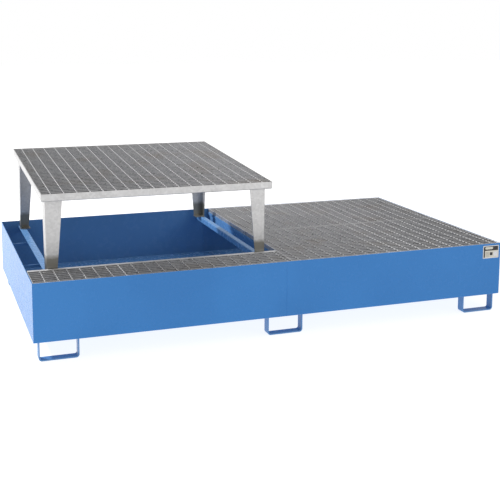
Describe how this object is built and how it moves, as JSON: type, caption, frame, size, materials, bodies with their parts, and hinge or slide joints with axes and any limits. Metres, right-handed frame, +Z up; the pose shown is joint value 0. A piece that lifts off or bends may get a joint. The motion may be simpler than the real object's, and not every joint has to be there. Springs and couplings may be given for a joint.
{
  "type": "spill containment pallet",
  "caption": "Long low sump tray on bent strap feet, part covered by lift-out bar gratings, with a raised sloping grating stand on four tapered legs over its open end.",
  "frame": {"origin": "middle of the footprint at floor level, under the feet", "axes": "+X along the tray towards the covered end, +Y from the front wall (the one with the rating plate) to the back wall, +Z up"},
  "size_m": [2.65, 1.5025, 0.866],
  "materials": {
    "blue_paint": "powder coated, light satin",
    "galvanised_grating": "hot-dip galvanised, dull",
    "galvanised_stand": "hot-dip galvanised, light spangle",
    "plate_metal": "anodised, blank fields"
  },
  "bodies": {
    "tray": {"tray_half_left": "blue_paint", "tray_half_right": "blue_paint", "end_wall_left": "blue_paint", "end_wall_right": "blue_paint", "foot_front_left": "blue_paint", "foot_front_middle": "blue_paint", "foot_front_right": "blue_paint", "foot_back_left": "blue_paint", "foot_back_middle": "blue_paint", "foot_back_right": "blue_paint", "stand_rail_left": "blue_paint", "stand_rail_right": "blue_paint", "grating_beam_left": "blue_paint", "grating_beam_middle": "blue_paint", "grating_ledge_right": "blue_paint", "strip_ledge_left": "blue_paint", "rail_ties_left": "blue_paint", "grating_stop": "blue_paint", "rating_plate": "plate_metal", "rating_plate_rivets": "plate_metal"},
    "strip_grating": {"strip_mesh": "galvanised_grating", "strip_edging": "galvanised_grating"},
    "front_panel": {"panel_front_mesh": "galvanised_grating", "panel_front_edging": "galvanised_grating"},
    "back_panel": {"panel_back_mesh": "galvanised_grating", "panel_back_edging": "galvanised_grating"},
    "stand": {"stand_mesh": "galvanised_grating", "stand_edge_front": "galvanised_stand", "stand_edge_back": "galvanised_stand", "stand_edge_left": "galvanised_stand", "stand_edge_right": "galvanised_stand", "leg_front_left": "galvanised_stand", "leg_front_right": "galvanised_stand", "leg_back_left": "galvanised_stand", "leg_back_right": "galvanised_stand", "foot_plate_front_left": "galvanised_stand", "foot_plate_front_right": "galvanised_stand", "foot_plate_back_left": "galvanised_stand", "foot_plate_back_right": "galvanised_stand"}
  },
  "joints": [
    {"name": "strip_lift", "type": "slide", "parent": "tray", "child": "strip_grating", "axis": [0, 0, 1], "range_m": [0, 0.2]},
    {"name": "front_panel_lift", "type": "slide", "parent": "tray", "child": "front_panel", "axis": [0, 0, 1], "range_m": [0, 0.3]},
    {"name": "back_panel_lift", "type": "slide", "parent": "tray", "child": "back_panel", "axis": [0, 0, 1], "range_m": [0, 0.3]},
    {"name": "stand_lift", "type": "slide", "parent": "tray", "child": "stand", "axis": [0, 0, 1], "range_m": [0, 0.3]}
  ]
}
